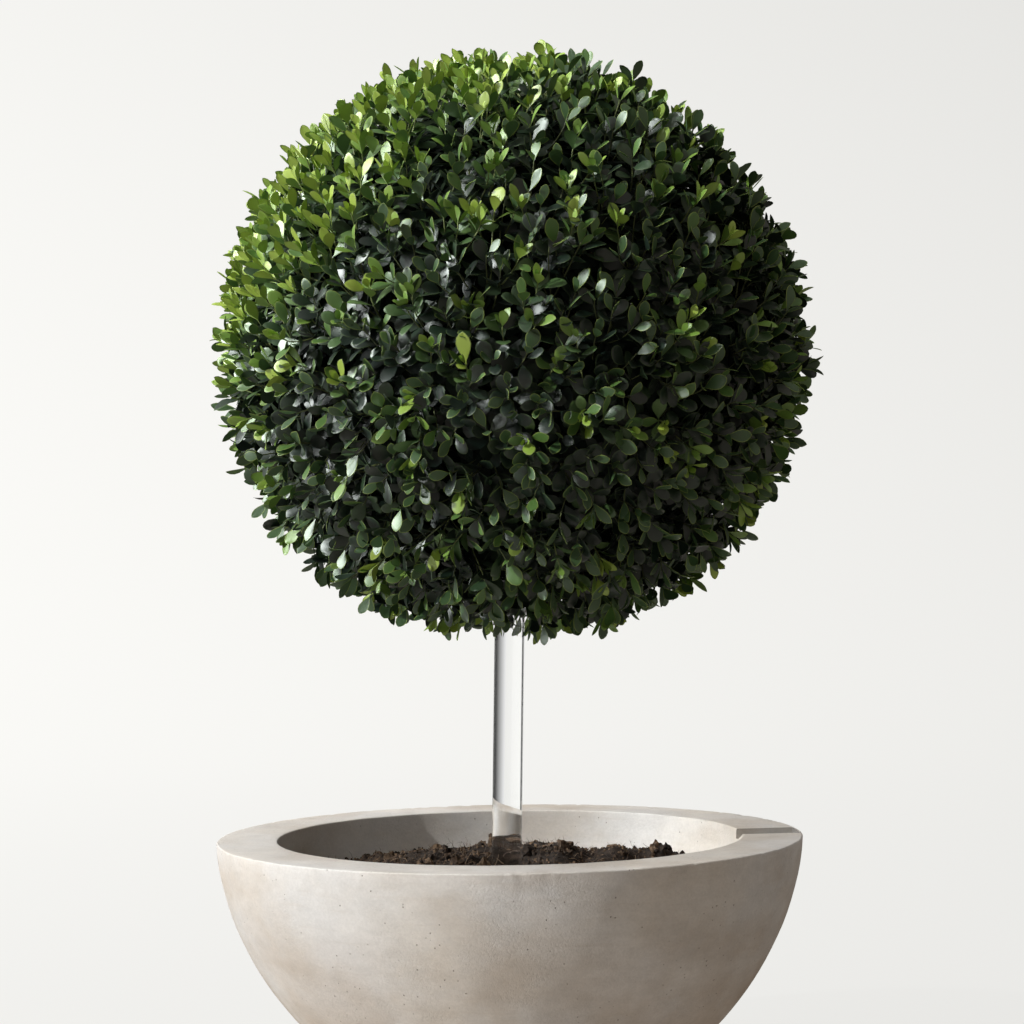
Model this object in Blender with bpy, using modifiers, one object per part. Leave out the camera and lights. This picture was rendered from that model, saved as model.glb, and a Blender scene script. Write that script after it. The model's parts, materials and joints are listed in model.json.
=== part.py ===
# A clipped ball topiary on a clear rod, planted in soil in a thick-walled concrete bowl.
# Metres, +Z up. The origin is the centre of the bowl's flat underside.

from math import asin, atan, cos, degrees, pi, radians, sin, sqrt, tan

import bmesh
import bpy
from mathutils import Euler, Matrix, Vector, noise

GAP = 0.0003  # between pieces that touch

# Bowl
BOWL_HEIGHT = 0.240
RIM_RADIUS = 0.2915
RIM_WIDTH = 0.060
RIM_RISE = radians(0.8)  # the cast rim climbs a little towards +X
ARRIS = 0.003  # rounding of the rim's two edges
FOOT_ROUNDING = 0.006
OUTER_CLOSE = 0.266  # depth below the rim at which the outer curve would reach the axis
INNER_CLOSE = 0.205
BELLY_POWER = 1.69
BELLY_ROOT = 0.444
FLOOR_THICKNESS = 0.060
BOWL_STEPS = 96
OUTER_STEPS = 10
INNER_STEPS = 7
ARC_STEPS = 3

# Shallow notch across the rim at +X: a steep back wall, and a floor that ramps up to the front
NOTCH_DEPTH = 0.0055
NOTCH_LENGTH = 0.048  # from the back wall to where the floor meets the rim
NOTCH_BACK = 0.034  # the back wall's distance behind the axis
NOTCH_TURN = radians(7)
NOTCH_CHAMFER = 0.006  # at the inner edge of its floor

# Soil
SOIL_EDGE = 0.044  # below the rim, at the wall
SOIL_HEAP = 0.028  # the middle's height above the edge
HEAP_POWER = 1.3
CLOD_HEIGHT = 0.004
CLOD_SIZE = 0.045
SOIL_RINGS = 8  # from the middle to the wall
SOIL_STEPS = 48

# Rod
ROD_RADIUS = 0.015
ROD_LEAN = radians(0.7)  # towards +X
ROD_FOOT_X = -0.0050
ROD_SIDES = 32

# Crown: its radius by elevation round its centre, in degrees and metres
CROWN_HEIGHT = 0.7285
CROWN_OUTLINE = ((-90, 0.295), (-45, 0.306), (0, 0.302), (45, 0.299), (90, 0.296))
CROWN_UNEVEN = 0.004
CROWN_LUMP = 0.110
CROWN_SEGMENTS = 44
CROWN_RINGS = 23
ROD_IN_CROWN = 0.040  # the rod's top, above the crown's centre

RIM_INNER = RIM_RADIUS - RIM_WIDTH


def clear_scene():
    for obj in list(bpy.data.objects):
        bpy.data.objects.remove(obj)


def new_collection(name):
    collection = bpy.data.collections.new(name)
    bpy.context.scene.collection.children.link(collection)
    return collection


def material(name, colour, roughness, transmission=0.0):
    made = bpy.data.materials.new(name)
    made.use_nodes = True
    shader = made.node_tree.nodes["Principled BSDF"]
    shader.inputs["Base Color"].default_value = (*colour, 1.0)
    shader.inputs["Roughness"].default_value = roughness
    shader.inputs["Metallic"].default_value = 0.0
    shader.inputs["Transmission Weight"].default_value = transmission
    return made


def mesh_object(name, mesh, collection, finish=None):
    obj = bpy.data.objects.new(name, mesh)
    collection.objects.link(obj)
    if finish:
        mesh.materials.append(finish)
    return obj


def from_bmesh(name, shape, collection, finish=None):
    mesh = bpy.data.meshes.new(name)
    shape.to_mesh(mesh)
    shape.free()
    return mesh_object(name, mesh, collection, finish)


def turned(name, profile, steps, collection, finish):
    """A solid turned round Z, from (radius, height) points that run down its outer side."""
    shape = bmesh.new()
    points = [shape.verts.new((radius, 0, height)) for radius, height in profile]
    for start, end in zip(points, points[1:]):
        shape.edges.new((start, end))
    obj = from_bmesh(name, shape, collection, finish)
    screw = obj.modifiers.new("Turn", "SCREW")
    screw.steps = steps
    screw.render_steps = steps
    screw.use_merge_vertices = True
    screw.merge_threshold = 0.00001
    return obj


def cut(obj, cutter):
    boolean = obj.modifiers.new("Cut " + cutter.name, "BOOLEAN")
    boolean.operation = "DIFFERENCE"
    boolean.object = cutter


def as_cutter(obj):
    obj.hide_render = True
    obj.display_type = "WIRE"
    return obj


def apply_modifiers(obj):
    bpy.context.view_layer.update()
    evaluated = obj.evaluated_get(bpy.context.evaluated_depsgraph_get())
    obj.data = bpy.data.meshes.new_from_object(evaluated)
    obj.modifiers.clear()


def box_cutter(name, size, middle, turn, collection):
    shape = bmesh.new()
    bmesh.ops.create_cube(shape, size=1)
    bmesh.ops.scale(shape, vec=size, verts=shape.verts)
    obj = as_cutter(from_bmesh(name, shape, collection))
    obj.location = middle
    obj.rotation_euler = turn.to_euler()
    return obj


def rod_shape(name, radius, bottom, top, collection, finish=None):
    """A round bar on the rod's leaning axis, between two heights."""
    shape = bmesh.new()
    bmesh.ops.create_cone(
        shape,
        cap_ends=True,
        segments=ROD_SIDES,
        radius1=radius,
        radius2=radius,
        depth=(top - bottom) / cos(ROD_LEAN),
    )
    obj = from_bmesh(name, shape, collection, finish)
    obj.rotation_euler = (0, ROD_LEAN, 0)
    obj.location = rod_point((bottom + top) / 2)
    return obj


def rod_point(height):
    return Vector((ROD_FOOT_X + tan(ROD_LEAN) * (height - FLOOR_THICKNESS), 0, height))


def rim_rise(x, z):
    """How far the casting's slant lifts a point: nothing at the foot, all of it at the rim."""
    return tan(RIM_RISE) * x * z / BOWL_HEIGHT


def slant(obj):
    for vertex in obj.data.vertices:
        vertex.co.z += rim_rise(vertex.co.x, vertex.co.z)


def wall_radius(depth, mouth, close):
    """The bowl's curve: full width at the mouth, closing at the given depth."""
    return mouth * (1 - (depth / close) ** BELLY_POWER) ** BELLY_ROOT


def inner_radius(depth):
    return wall_radius(depth, RIM_INNER, INNER_CLOSE)


def steps_between(first, last, count):
    return [first + (last - first) * i / count for i in range(count + 1)]


def arc(centre_r, centre_z, radius, first, last):
    angles = steps_between(radians(first), radians(last), ARC_STEPS)
    return [(centre_r + radius * cos(a), centre_z + radius * sin(a)) for a in angles]


def inner_depths():
    """Depths of the inner wall's points below the soil's edge, which bowl and soil share."""
    floor_depth = BOWL_HEIGHT - FLOOR_THICKNESS
    share = steps_between(0, pi / 2, INNER_STEPS)
    return [SOIL_EDGE + (floor_depth - SOIL_EDGE) * sin(s) for s in share]


def outer_depths():
    last = BOWL_HEIGHT - FOOT_ROUNDING
    share = steps_between(0, pi / 2, OUTER_STEPS)
    return [ARRIS + (last - ARRIS) * sin(s) for s in share]


def bowl_profile():
    inner_side = [(inner_radius(d), BOWL_HEIGHT - d) for d in reversed(inner_depths())]
    bare_wall = [(inner_radius(d), BOWL_HEIGHT - d) for d in (SOIL_EDGE / 2, ARRIS)]
    arris_z = BOWL_HEIGHT - ARRIS
    inner_arris = arc(RIM_INNER + ARRIS, arris_z, ARRIS, 180, 90)[1:]
    outer_arris = arc(RIM_RADIUS - ARRIS, arris_z, ARRIS, 90, 0)[:-1]
    outer_side = [(wall_radius(d, RIM_RADIUS, OUTER_CLOSE), BOWL_HEIGHT - d) for d in outer_depths()]
    foot = outer_side[-1][0] - FOOT_ROUNDING
    return (
        [(0, FLOOR_THICKNESS), (inner_side[0][0] * 0.5, FLOOR_THICKNESS)]
        + inner_side
        + bare_wall
        + inner_arris
        + outer_arris
        + outer_side
        + [(foot, 0), (foot * 0.5, 0), (0, 0)]
    )


def notch_cutters(collection):
    """A box whose underside is the notch's ramp, and a bar that chamfers the ramp's inner edge."""
    ramp = Euler((-atan(NOTCH_DEPTH / NOTCH_LENGTH), 0, NOTCH_TURN)).to_matrix()
    foot = Vector((RIM_RADIUS - RIM_WIDTH / 2, NOTCH_BACK, BOWL_HEIGHT - NOTCH_DEPTH))
    length = NOTCH_LENGTH * 2
    height = NOTCH_DEPTH * 6
    middle = foot + ramp @ Vector((0, -length / 2, height / 2))
    notch = box_cutter("notch", (RIM_WIDTH * 2, length, height), middle, ramp, collection)
    edge = foot + ramp @ Vector((-RIM_WIDTH / 2, -NOTCH_LENGTH / 2, 0))
    side = NOTCH_CHAMFER * sqrt(2)
    size = (side, NOTCH_LENGTH - NOTCH_CHAMFER, side)
    diagonal = ramp @ Matrix.Rotation(radians(45), 3, "Y")
    chamfer = box_cutter("notch_chamfer", size, edge, diagonal, collection)
    return notch, chamfer


def make_bowl(parts, cutters):
    concrete = material("concrete", (0.47, 0.43, 0.39), 0.85)
    bowl = turned("bowl", bowl_profile(), BOWL_STEPS, parts, concrete)
    for cutter in notch_cutters(cutters):
        cut(bowl, cutter)
    apply_modifiers(bowl)
    slant(bowl)
    bowl.data.shade_smooth()
    bowl.data.set_sharp_from_angle(angle=radians(30))


def soil_height(radius):
    heap = SOIL_HEAP * (1 - (radius / RIM_INNER) ** HEAP_POWER)
    return BOWL_HEIGHT - SOIL_EDGE + heap


def make_soil(parts, cutters):
    earth = material("soil", (0.060, 0.038, 0.024), 0.95)
    side = [(inner_radius(d) - GAP, BOWL_HEIGHT - d) for d in inner_depths()]
    side[-1] = (side[-1][0], FLOOR_THICKNESS + GAP)
    underside = [(side[-1][0] / 2, FLOOR_THICKNESS + GAP), (0, FLOOR_THICKNESS + GAP)]
    top = [(r, soil_height(r)) for r in steps_between(0, side[0][0], SOIL_RINGS)[:-1]]
    soil = turned("soil", top + side + underside, SOIL_STEPS, parts, earth)
    apply_modifiers(soil)
    for vertex in soil.data.vertices:
        radius = vertex.co.xy.length
        if vertex.co.z > soil_height(radius) - GAP:
            vertex.co.z += CLOD_HEIGHT * noise.noise(vertex.co / CLOD_SIZE)
    slant(soil)
    hole = rod_shape("rod_hole", ROD_RADIUS + GAP, FLOOR_THICKNESS / 2, BOWL_HEIGHT * 1.1, cutters)
    cut(soil, as_cutter(hole))


def make_rod(parts):
    clear = material("clear_acrylic", (0.95, 0.96, 0.96), 0.03, transmission=1.0)
    top = CROWN_HEIGHT + ROD_IN_CROWN
    rod = rod_shape("stem_rod", ROD_RADIUS, FLOOR_THICKNESS + 2 * GAP, top, parts, clear)
    rod.data.shade_smooth()
    rod.data.set_sharp_from_angle(angle=radians(40))


def outline_radius(elevation):
    """The crown's radius at an elevation in degrees, eased between the outline's points."""
    for (low, first), (high, last) in zip(CROWN_OUTLINE, CROWN_OUTLINE[1:]):
        if elevation <= high:
            share = (elevation - low) / (high - low)
            ease = (1 - cos(pi * share)) / 2
            return first + (last - first) * ease
    return CROWN_OUTLINE[-1][1]


def make_crown(parts, cutters):
    leaf = material("leaves", (0.045, 0.085, 0.020), 0.45)
    centre = rod_point(CROWN_HEIGHT)
    shape = bmesh.new()
    bmesh.ops.create_uvsphere(shape, u_segments=CROWN_SEGMENTS, v_segments=CROWN_RINGS, radius=1)
    for vertex in shape.verts:
        way = vertex.co.normalized()
        radius = outline_radius(degrees(asin(way.z)))
        lump = CROWN_UNEVEN * noise.noise(way * radius / CROWN_LUMP)
        vertex.co = way * (radius + lump)
    bmesh.ops.transform(shape, matrix=Matrix.Translation(centre), verts=shape.verts)
    crown = from_bmesh("crown", shape, parts, leaf)
    crown.data.shade_smooth()
    top = CROWN_HEIGHT + ROD_IN_CROWN + GAP
    pocket = rod_shape("rod_pocket", ROD_RADIUS + GAP, CROWN_HEIGHT / 2, top, cutters)
    cut(crown, as_cutter(pocket))


def main():
    clear_scene()
    parts = new_collection("ball_topiary")
    cutters = new_collection("cutters")
    make_bowl(parts, cutters)
    make_soil(parts, cutters)
    make_rod(parts)
    make_crown(parts, cutters)


main()
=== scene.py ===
# A clipped ball topiary on a clear rod, in a thick concrete bowl of soil, on a pale studio sweep.
# Metres, +Z up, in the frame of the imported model: the origin is the centre of the bowl's foot.

import json
from math import asin, atan, cos, pi, radians, sin, sqrt, tan
from random import Random

import bmesh
import bpy
from mathutils import Euler, Matrix, Vector, noise
from mathutils.bvhtree import BVHTree
from mathutils.kdtree import KDTree

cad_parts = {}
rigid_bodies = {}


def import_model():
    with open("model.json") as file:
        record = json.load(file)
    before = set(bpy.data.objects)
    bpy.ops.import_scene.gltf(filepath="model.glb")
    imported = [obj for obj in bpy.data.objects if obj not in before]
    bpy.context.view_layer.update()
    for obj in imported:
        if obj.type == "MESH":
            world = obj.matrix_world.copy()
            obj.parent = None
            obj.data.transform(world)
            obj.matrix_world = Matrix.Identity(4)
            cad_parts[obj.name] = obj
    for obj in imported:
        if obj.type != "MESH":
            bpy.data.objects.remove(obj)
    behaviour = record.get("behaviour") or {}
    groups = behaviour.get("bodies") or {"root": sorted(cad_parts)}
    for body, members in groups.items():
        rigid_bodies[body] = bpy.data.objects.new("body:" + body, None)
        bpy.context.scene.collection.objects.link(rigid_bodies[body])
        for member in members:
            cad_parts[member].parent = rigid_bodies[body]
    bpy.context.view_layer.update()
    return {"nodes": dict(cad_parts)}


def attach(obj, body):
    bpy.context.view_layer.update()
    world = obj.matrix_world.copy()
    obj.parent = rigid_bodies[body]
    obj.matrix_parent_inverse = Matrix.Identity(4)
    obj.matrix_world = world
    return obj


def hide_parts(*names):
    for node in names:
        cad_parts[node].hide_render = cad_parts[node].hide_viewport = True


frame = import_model()

gap = 0.0003  # between pieces that touch
up = Vector((0, 0, 1))


# Small tools

def linear(red, green, blue):
    # a colour as a picker shows it, 0 to 255, made linear
    parts = [channel / 255 for channel in (red, green, blue)]
    return tuple(c / 12.92 if c <= 0.04045 else ((c + 0.055) / 1.055) ** 2.4 for c in parts)


def blendBetween(first, last, share):
    return first + (last - first) * share


def stepsBetween(first, last, count):
    return [blendBetween(first, last, i / count) for i in range(count + 1)]


def addObject(name, data, *finishes):
    made = bpy.data.objects.new(name, data)
    bpy.context.scene.collection.objects.link(made)
    for finish in finishes:
        data.materials.append(finish)
    return made


def meshFrom(name, points, faces, edges=()):
    mesh = bpy.data.meshes.new(name)
    mesh.from_pydata(points, edges, faces)
    mesh.update()
    return mesh


def meshOf(name, shape):
    mesh = bpy.data.meshes.new(name)
    shape.to_mesh(mesh)
    shape.free()
    return mesh


def settle(obj):
    # turns what the modifiers make into a plain mesh
    bpy.context.view_layer.update()
    shown = obj.evaluated_get(bpy.context.evaluated_depsgraph_get())
    mesh = bpy.data.meshes.new_from_object(shown)
    obj.modifiers.clear()
    obj.data = mesh
    return obj


def dropAttributes(mesh, *names):
    for name in names:
        found = mesh.attributes.get(name)
        if found:
            mesh.attributes.remove(found)


def keepValues(mesh, name, kind, values):
    field = "vector" if kind == "FLOAT_VECTOR" else "value"
    attribute = mesh.attributes.new(name, kind, "POINT")
    flat = [x for value in values for x in value] if field == "vector" else list(values)
    attribute.data.foreach_set(field, flat)


def smoothWithEdges(obj, angle):
    obj.data.shade_smooth()
    obj.data.set_sharp_from_angle(angle=radians(angle))


def turned(name, profile, steps, *finishes):
    # a profile of (radius, height) turned round the Z axis
    outline = meshFrom(name, [(radius, 0, height) for radius, height in profile], (),
                       [(i, i + 1) for i in range(len(profile) - 1)])
    made = addObject(name, outline, *finishes)
    screw = made.modifiers.new("Turn", "SCREW")
    screw.steps = screw.render_steps = steps
    screw.use_merge_vertices = True
    screw.merge_threshold = 0.00001
    return made


def strayed(rng, spread):
    return Vector([rng.gauss(0, spread) for _ in range(3)])


def bestowed(obj, *nodes, slot):
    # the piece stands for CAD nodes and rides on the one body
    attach(obj, "root")
    if nodes:
        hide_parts(*nodes)
    return obj


# Node trees

class NodeSheet:
    # a node tree with short ways to add and join nodes
    def __init__(self, tree):
        self.tree = tree

    def add(self, kind, **settings):
        node = self.tree.nodes.new(kind)
        for name, value in settings.items():
            setattr(node, name, value)
        return node

    def feed(self, node, socket, value):
        target = node.inputs[socket]
        if isinstance(value, bpy.types.NodeSocket):
            self.tree.links.new(value, target)
        else:
            target.default_value = value
        return node

    def chain(self, kind, inputs, output=0, **settings):
        node = self.add(kind, **settings)
        for socket, value in inputs.items():
            self.feed(node, socket, value)
        return node.outputs[output]

    def place(self):
        return self.chain("ShaderNodeTexCoord", {}, "Object")

    def axis(self, vector, letter):
        return self.chain("ShaderNodeSeparateXYZ", {"Vector": vector}, letter)

    def patches(self, place, scale, detail, roughness=0.5):
        return self.chain("ShaderNodeTexNoise", {
            "Vector": place, "Scale": scale, "Detail": detail, "Roughness": roughness,
        }, "Fac")

    def ranged(self, value, low, high, least=0.0, most=1.0):
        return self.chain("ShaderNodeMapRange", {
            "Value": value, "From Min": low, "From Max": high, "To Min": least, "To Max": most,
        })

    def mixed(self, share, under, over, kind="MIX"):
        inputs = {"Factor": share, 6: under, 7: over}
        return self.chain("ShaderNodeMix", inputs, 2, data_type="RGBA", blend_type=kind)

    def maths(self, operation, first, second):
        return self.chain("ShaderNodeMath", {0: first, 1: second}, operation=operation)

    def lot(self, kind, least, most, seed):
        # a random value for each point, face or instance
        first, output = {"FLOAT_VECTOR": (0, 0), "FLOAT": (2, 1), "INT": (4, 2)}[kind]
        inputs = {first: least, first + 1: most, "Seed": seed}
        return self.chain("FunctionNodeRandomValue", inputs, output, data_type=kind)

    def named(self, name, kind):
        return self.chain("GeometryNodeInputNamedAttribute", {"Name": name}, data_type=kind)


def geometryTree(name, inputs):
    # a Geometry Nodes tree with named inputs: {name: (socket kind, value)}
    tree = bpy.data.node_groups.new(name, "GeometryNodeTree")
    tree.interface.new_socket("Geometry", in_out="INPUT", socket_type="NodeSocketGeometry")
    for label, (kind, value) in inputs.items():
        socket = tree.interface.new_socket(label, in_out="INPUT", socket_type="NodeSocket" + kind)
        socket.default_value = value
    tree.interface.new_socket("Geometry", in_out="OUTPUT", socket_type="NodeSocketGeometry")
    sheet = NodeSheet(tree)
    return sheet, sheet.add("NodeGroupInput").outputs


def finishTree(sheet, geometry, finishes, byAttribute=None, edging=None):
    # Realize Instances, then Set Material, by an attribute where there is more than one finish
    shape = sheet.chain("GeometryNodeRealizeInstances", {"Geometry": geometry})
    for number, finish in enumerate(finishes):
        given = {"Geometry": shape, "Material": finish}
        if byAttribute and len(finishes) > 1:
            inputs = {2: sheet.named(byAttribute, "INT"), 3: number}
            given["Selection"] = sheet.chain(
                "FunctionNodeCompare", inputs, data_type="INT", operation="EQUAL"
            )
        shape = sheet.chain("GeometryNodeSetMaterial", given)
    if edging:
        marked = sheet.named("edging", "BOOLEAN")
        inputs = {"Geometry": shape, "Selection": marked, "Material": edging}
        shape = sheet.chain("GeometryNodeSetMaterial", inputs)
    sheet.feed(sheet.add("NodeGroupOutput"), 0, shape)


def useTree(obj, sheet):
    # the inputs are set by identifier, before the object is first evaluated; what it makes becomes its mesh
    modifier = obj.modifiers.new(sheet.tree.name, "NODES")
    modifier.node_group = sheet.tree
    for item in sheet.tree.interface.items_tree:
        if item.in_out == "INPUT" and item.name != "Geometry":
            modifier[item.identifier] = item.default_value
    return settle(obj)


def sourceShapes(name, meshes):
    # a collection of shapes that only the node trees use
    group = bpy.data.collections.new(name)
    for number, mesh in enumerate(meshes):
        group.objects.link(bpy.data.objects.new(f"{name}{number:02d}", mesh))
    return group


def clearSources(group):
    for obj in list(group.objects):
        bpy.data.objects.remove(obj)
    bpy.data.collections.remove(group)


def newFinish(name):
    made = bpy.data.materials.new(name)
    made.use_nodes = True
    return made, NodeSheet(made.node_tree), made.node_tree.nodes["Principled BSDF"]


def plainFinish(name, colour, roughness, **more):
    made, sheet, shader = newFinish(name)
    sheet.feed(shader, "Base Color", (*colour, 1))
    sheet.feed(shader, "Roughness", roughness)
    for socket, value in more.items():
        sheet.feed(shader, socket.replace("_", " "), value)
    return made


def mottledFinish(name, dark, pale, scale, detail, roughness):
    # small dark and pale spots; what made them can make more of the finish
    made, sheet, shader = newFinish(name)
    spots = sheet.patches(sheet.place(), scale, detail)
    dark, pale = (*linear(*dark), 1), (*linear(*pale), 1)
    sheet.feed(shader, "Base Color", sheet.mixed(sheet.ranged(spots, 0.35, 0.65), dark, pale))
    sheet.feed(shader, "Roughness", roughness)
    return made, sheet, shader, spots


# Camera

view = {
    "place": (0.0022, -2.743, 0.5635),
    "lens": 96.43,
    "sensor": 36.0,
}


def placeCamera():
    data = bpy.data.cameras.new("camera")
    data.lens = view["lens"]
    data.sensor_width = view["sensor"]
    data.clip_end = 40
    camera = addObject("camera", data)
    camera.location = view["place"]
    camera.rotation_euler = (radians(90), 0, 0)
    bpy.context.scene.camera = camera


placeCamera()
print("camera placed")


# Studio: a round sweep with its own even glow, suns and lamps, and dark cards round the clear rod

studio = {
    "floorRadius": 3.2,
    "sweepRadius": 2.0,
    "wallTop": 4.6,
    "glowSlope": (-0.0465, 0.0189, -0.0359),  # the sweep's glow grows this way
    "glowSpan": (-0.099, 0.130),
    "paleGlow": (0.941, 0.936, 0.909),
    "fadedGlow": (0.709, 0.705, 0.685),
    "paint": 0.03,
    "suns": {  # strength, spread, turn from +X, height, colour, what it lights; angles in degrees
        "key": (2.98, 1.2, 204.0, 24.5, (1.0, 1.0, 0.985), "matt"),
        "soft": (0.88, 30, 182, 25, (1.0, 1.0, 0.985), "matt"),
        "sheen": (8.4, 44, 195, 22, (0.95, 1.0, 0.98), "gloss"),
    },
    "lamps": {  # place, aimed at, width, power, colour; they light matt things only
        "overhead": ((-1.1, 0.3, 3.2), (0, 0, 0.6), 2.4, 60, (1, 1, 1)),
        "fill": ((1.6, 0.5, 3.0), (0.2, 0, 0.3), 1.6, 18, (1, 1, 1)),
        "bounce": ((-1.0, -2.0, 0.04), (0, 0, 0.25), 1.5, 4, (1, 1, 1)),
        "nearGlow": ((-0.42, -0.42, 0.01), (-0.42, -0.42, 1), 0.9, 0.75, (1, 0.95, 0.88)),
        "farGlow": ((0.42, -0.42, 0.01), (0.42, -0.42, 1), 0.9, 0.34, (1, 0.88, 0.74)),
    },
    "air": (0.198, 0.175, 0.153),
    "cards": {  # from one bearing to another in degrees; places along X that the glow fades between
        "right_card": (8, 74, 0.20, 1.05),
        "left_card": (-70, -46, -1.06, -1.10),
        "far_card": (-62, 62, -3, -2),  # dark all over
    },
    "cardRadius": 1.5,
    "cardHeight": 0.5,
    "cardLevels": (0.02, 0.88),  # how bright a card is where it is darkest and palest
    "cardCurve": 1.25,
}


def sweepFinish():
    made, sheet, shader = newFinish("studioSweep")
    inputs = {0: sheet.place(), 1: studio["glowSlope"]}
    along = sheet.chain("ShaderNodeVectorMath", inputs, "Value", operation="DOT_PRODUCT")
    share = sheet.ranged(along, *studio["glowSpan"])
    glow = sheet.mixed(share, (*studio["fadedGlow"], 1), (*studio["paleGlow"], 1))
    sheet.feed(shader, "Emission Color", glow)
    paint = studio["paint"]
    sheet.feed(shader, "Base Color", (paint, paint, paint, 1))
    sheet.feed(shader, "Roughness", 1)
    sheet.feed(shader, "Specular IOR Level", 0)
    sheet.feed(shader, "Emission Strength", 1)
    return made


def makeSweep():
    floor = studio["floorRadius"]
    bend = studio["sweepRadius"]
    curve = [(floor + bend * sin(a), bend * (1 - cos(a))) for a in stepsBetween(0, pi / 2, 16)]
    profile = [(0, 0), (floor / 2, 0)] + curve + [(floor + bend, studio["wallTop"])]
    sweep = settle(turned("studio_floor", profile, 96, sweepFinish()))
    sweep.data.shade_smooth()
    sweep.visible_diffuse = False
    sweep.visible_glossy = False
    sweep.visible_shadow = False


def makeCard(name, first, last, fadesFrom, fadesTo):
    # a low upright card round the rod, from one bearing to another, which only clear and glossy things
    # show; it gives the rod its dark edges
    made, sheet, shader = newFinish(name)
    made.node_tree.nodes.remove(shader)
    across = sheet.axis(sheet.place(), "X")
    share = sheet.maths("POWER", sheet.ranged(across, fadesFrom, fadesTo, 1, 0), studio["cardCurve"])
    level = sheet.ranged(share, 0, 1, *studio["cardLevels"])
    glow = sheet.chain("ShaderNodeEmission", {"Strength": level})
    sheet.feed(made.node_tree.nodes["Material Output"], "Surface", glow)
    points = []
    for turn in stepsBetween(radians(first), radians(last), 24):
        x, y = studio["cardRadius"] * sin(turn), studio["cardRadius"] * cos(turn)
        points += [(x, y, 0.0), (x, y, studio["cardHeight"])]
    faces = [(i, i + 1, i + 3, i + 2) for i in range(0, len(points) - 2, 2)]
    card = addObject(name, meshFrom(name, points, faces), made)
    card.visible_camera = False
    card.visible_diffuse = False
    card.visible_shadow = False
    return card


def addLamp(name, kind, power, colour, towards):
    # it shines away from the way that towards points
    data = bpy.data.lights.new(name, kind)
    data.energy = power
    data.color = colour
    lamp = addObject(name, data)
    lamp.rotation_euler = towards.to_track_quat("Z", "Y").to_euler()
    return lamp


def placeLights():
    for name, (strength, spread, turn, height, colour, lights) in studio["suns"].items():
        turn, height = radians(turn), radians(height)
        toLamp = Vector((cos(turn) * cos(height), sin(turn) * cos(height), sin(height)))
        lamp = addLamp(name, "SUN", strength, colour, toLamp)
        lamp.data.angle = radians(spread)
        lamp.visible_diffuse = lights != "gloss"
        lamp.visible_glossy = lights != "matt"
    for name, (place, aim, width, power, colour) in studio["lamps"].items():
        lamp = addLamp(name, "AREA", power, colour, Vector(place) - Vector(aim))
        lamp.location = place
        lamp.data.shape = "DISK"
        lamp.data.size = width
        lamp.visible_camera = False
        lamp.visible_glossy = False
    world = bpy.data.worlds.new("air")
    world.use_nodes = True
    world.node_tree.nodes["Background"].inputs["Color"].default_value = (*studio["air"], 1)
    bpy.context.scene.world = world
    bpy.context.scene.view_settings.view_transform = "Standard"


makeSweep()
cards = {name: makeCard(name, *card) for name, card in studio["cards"].items()}
cards["far_card"].scale = (1.05, 1.05, 1)
cards["far_card"].visible_transmission = False  # it is only mirrored
placeLights()
print("studio lit")


# Bowl

bowl = {
    "height": 0.240,
    "rimRadius": 0.2915,
    "rimWidth": 0.060,
    "rimRise": radians(0.8),  # the cast rim climbs a little towards +X
    "arris": 0.0016,
    "footRounding": 0.006,
    "outerClose": 0.266,
    "innerClose": 0.205,
    "bellyPower": 1.69,
    "bellyRoot": 0.444,
    "floorThickness": 0.060,
    "soilEdge": 0.044,
    "turnSteps": 432,
    "outerSteps": 30,
    "innerSteps": 12,
    "arcSteps": 6,
    "notchDepth": 0.0055,
    "notchLength": 0.048,
    "notchBack": 0.034,
    "notchTurn": radians(7),
    "notchChamfer": 0.006,
    "notchPaintedShade": 0.50,  # painted shade: its back wall is coloured darker than the rest of the casting
    "lipPaintedShade": 0.24,  # painted shade: the inside of its lip is coloured darker still
    "notchLip": 0.0026,  # what stays of the rim at the notch's outer end
    "notchMargin": 0.010,  # its walls are looked for this far round it
    "waver": 0.0005,  # the casting's unevenness
    "waverSize": 0.035,
    "chip": 0.0011,  # how deep the rim's arris is chipped
    "chipSize": 0.011,
    "chipLeast": 0.25,  # more is fewer chips
    "pitsPerArea": 700,
    "smallestPit": 0.0002,
    "largestPit": 0.0008,
    "pitSpacing": 0.003,
    "pitBunches": (26, 0.44, 0.62),  # how many to a metre; where a bunch starts and where it is full
    "pitSeed": 5,
}
rimInner = bowl["rimRadius"] - bowl["rimWidth"]


def rimRise(x, z):
    return tan(bowl["rimRise"]) * x * z / bowl["height"]


def wallRadius(depth, mouth, close):
    return mouth * (1 - (depth / close) ** bowl["bellyPower"]) ** bowl["bellyRoot"]


def innerRadius(depth):
    return wallRadius(depth, rimInner, bowl["innerClose"])


def quarterTurn(centre, height, radius, first, last):
    angles = stepsBetween(radians(first), radians(last), bowl["arcSteps"])
    return [(centre + radius * cos(a), height + radius * sin(a)) for a in angles]


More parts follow.
